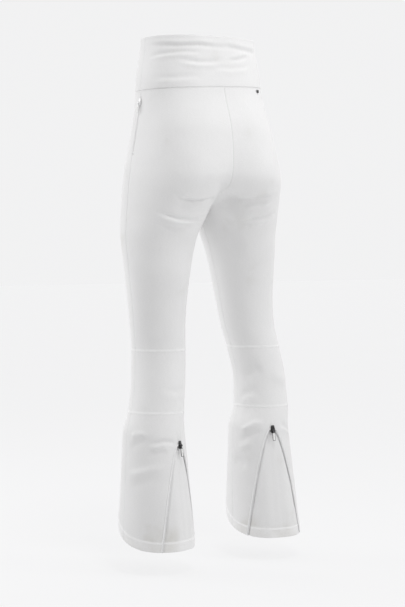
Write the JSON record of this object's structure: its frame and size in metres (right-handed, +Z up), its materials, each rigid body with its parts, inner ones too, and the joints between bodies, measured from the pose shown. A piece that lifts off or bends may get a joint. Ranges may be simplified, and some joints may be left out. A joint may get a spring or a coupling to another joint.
{
  "type": "ski trousers",
  "caption": "Flared stretch ski trousers held in their worn shape, with a high waistband, hand pockets, a fly and zipped vents at the hems.",
  "frame": {"origin": "centre of the waist opening, level with the top edge of the waistband", "axes": "+Z up along the standing trousers, -Y the way the wearer faces, +X to the wearer's left"},
  "size_m": [0.4434, 0.2414, 1.07],
  "materials": {
    "softshell": "bonded stretch softshell with a fine matt weave",
    "lining": "soft brushed lining",
    "zip_tape": "woven tape",
    "zip_coil": "nylon coil",
    "black_metal": "satin black enamel",
    "white_metal": "satin white enamel",
    "pull_rubber": "moulded soft plastic",
    "badge_rubber": "matt transfer"
  },
  "bodies": {
    "trousers": {"front_panel_left": "softshell", "back_panel_left": "softshell", "knee_front_left": "softshell", "knee_back_left": "softshell", "shin_panel_left": "softshell", "calf_panel_left": "softshell", "vent_gusset_left": "softshell", "hem_facing_left": "lining", "hem_zip_tape_outer_left": "zip_tape", "hem_zip_coil_outer_left": "zip_coil", "hem_zip_tape_inner_left": "zip_tape", "hem_zip_coil_inner_left": "zip_coil", "pocket_tape_front_left": "zip_tape", "pocket_tape_back_left": "zip_tape", "pocket_left_coil": "zip_coil", "pocket_bag_left": "lining", "front_panel_right": "softshell", "back_panel_right": "softshell", "knee_front_right": "softshell", "knee_back_right": "softshell", "shin_panel_right": "softshell", "calf_panel_right": "softshell", "vent_gusset_right": "softshell", "hem_facing_right": "lining", "hem_zip_tape_outer_right": "zip_tape", "hem_zip_coil_outer_right": "zip_coil", "hem_zip_tape_inner_right": "zip_tape", "hem_zip_coil_inner_right": "zip_coil", "pocket_tape_front_right": "zip_tape", "pocket_tape_back_right": "zip_tape", "pocket_right_coil": "zip_coil", "pocket_bag_right": "lining", "waistband_back": "softshell", "waistband_front_left": "softshell", "waistband_front_right": "softshell", "waistband_overlap": "softshell", "waistband_facing": "lining", "snap_cap_upper": "white_metal", "snap_post_upper": "white_metal", "snap_cap_lower": "white_metal", "snap_post_lower": "white_metal", "fly_tape_left": "zip_tape", "fly_tape_right": "zip_tape", "fly_coil": "zip_coil", "fly_shield": "lining", "hanger_loop": "zip_tape", "care_label": "zip_tape", "badge": "badge_rubber"},
    "hem_zip_left_slider": {"hem_zip_left_slider": "black_metal"},
    "hem_zip_left_pull": {"hem_zip_left_pull": "pull_rubber"},
    "hem_zip_right_slider": {"hem_zip_right_slider": "black_metal"},
    "hem_zip_right_pull": {"hem_zip_right_pull": "pull_rubber"},
    "pocket_left_slider": {"pocket_left_slider": "white_metal"},
    "pocket_left_pull": {"pocket_left_pull": "pull_rubber"},
    "pocket_right_slider": {"pocket_right_slider": "white_metal"},
    "pocket_right_pull": {"pocket_right_pull": "pull_rubber"},
    "fly_slider": {"fly_slider": "white_metal"},
    "fly_pull": {"fly_pull": "pull_rubber"}
  },
  "joints": [
    {"name": "hem_zip_left_travel", "type": "slide", "parent": "trousers", "child": "hem_zip_left_slider", "axis": [-0.0157, 0.1335, -0.9909], "range_m": [0, 0.2]},
    {"name": "hem_zip_left_pull_swing", "type": "hinge", "parent": "hem_zip_left_slider", "child": "hem_zip_left_pull", "pos_m": [0.09362, 0.08656, -0.85388], "axis": [0.9272, 0.3729, 0.0356], "range_deg": [0, 120]},
    {"name": "hem_zip_right_travel", "type": "slide", "parent": "trousers", "child": "hem_zip_right_slider", "axis": [-0.0297, 0.1006, -0.9945], "range_m": [0, 0.215]},
    {"name": "hem_zip_right_pull_swing", "type": "hinge", "parent": "hem_zip_right_slider", "child": "hem_zip_right_pull", "pos_m": [-0.14657, 0.07648, -0.83704], "axis": [0.991, -0.1273, -0.0425], "range_deg": [0, 120]},
    {"name": "pocket_left_travel", "type": "slide", "parent": "trousers", "child": "pocket_left_slider", "axis": [0.202, 0.0203, -0.9792], "range_m": [0, 0.11]},
    {"name": "pocket_left_pull_swing", "type": "hinge", "parent": "pocket_left_slider", "child": "pocket_left_pull", "pos_m": [0.14858, 0.00285, -0.1375], "axis": [-0.0009, -0.9998, -0.0209], "range_deg": [0, 120]},
    {"name": "pocket_right_travel", "type": "slide", "parent": "trousers", "child": "pocket_right_slider", "axis": [-0.1825, 0.0183, -0.983], "range_m": [0, 0.11]},
    {"name": "pocket_right_pull_swing", "type": "hinge", "parent": "pocket_right_slider", "child": "pocket_right_pull", "pos_m": [-0.14857, 0.00286, -0.12564], "axis": [0.0008, 0.9998, 0.0185], "range_deg": [0, 120]},
    {"name": "fly_travel", "type": "slide", "parent": "trousers", "child": "fly_slider", "axis": [0, 0.0727, -0.9974], "range_m": [0, 0.1]},
    {"name": "fly_pull_swing", "type": "hinge", "parent": "fly_slider", "child": "fly_pull", "pos_m": [0, -0.09484, -0.11984], "axis": [-1, -0.0008, 0], "range_deg": [0, 120]}
  ]
}
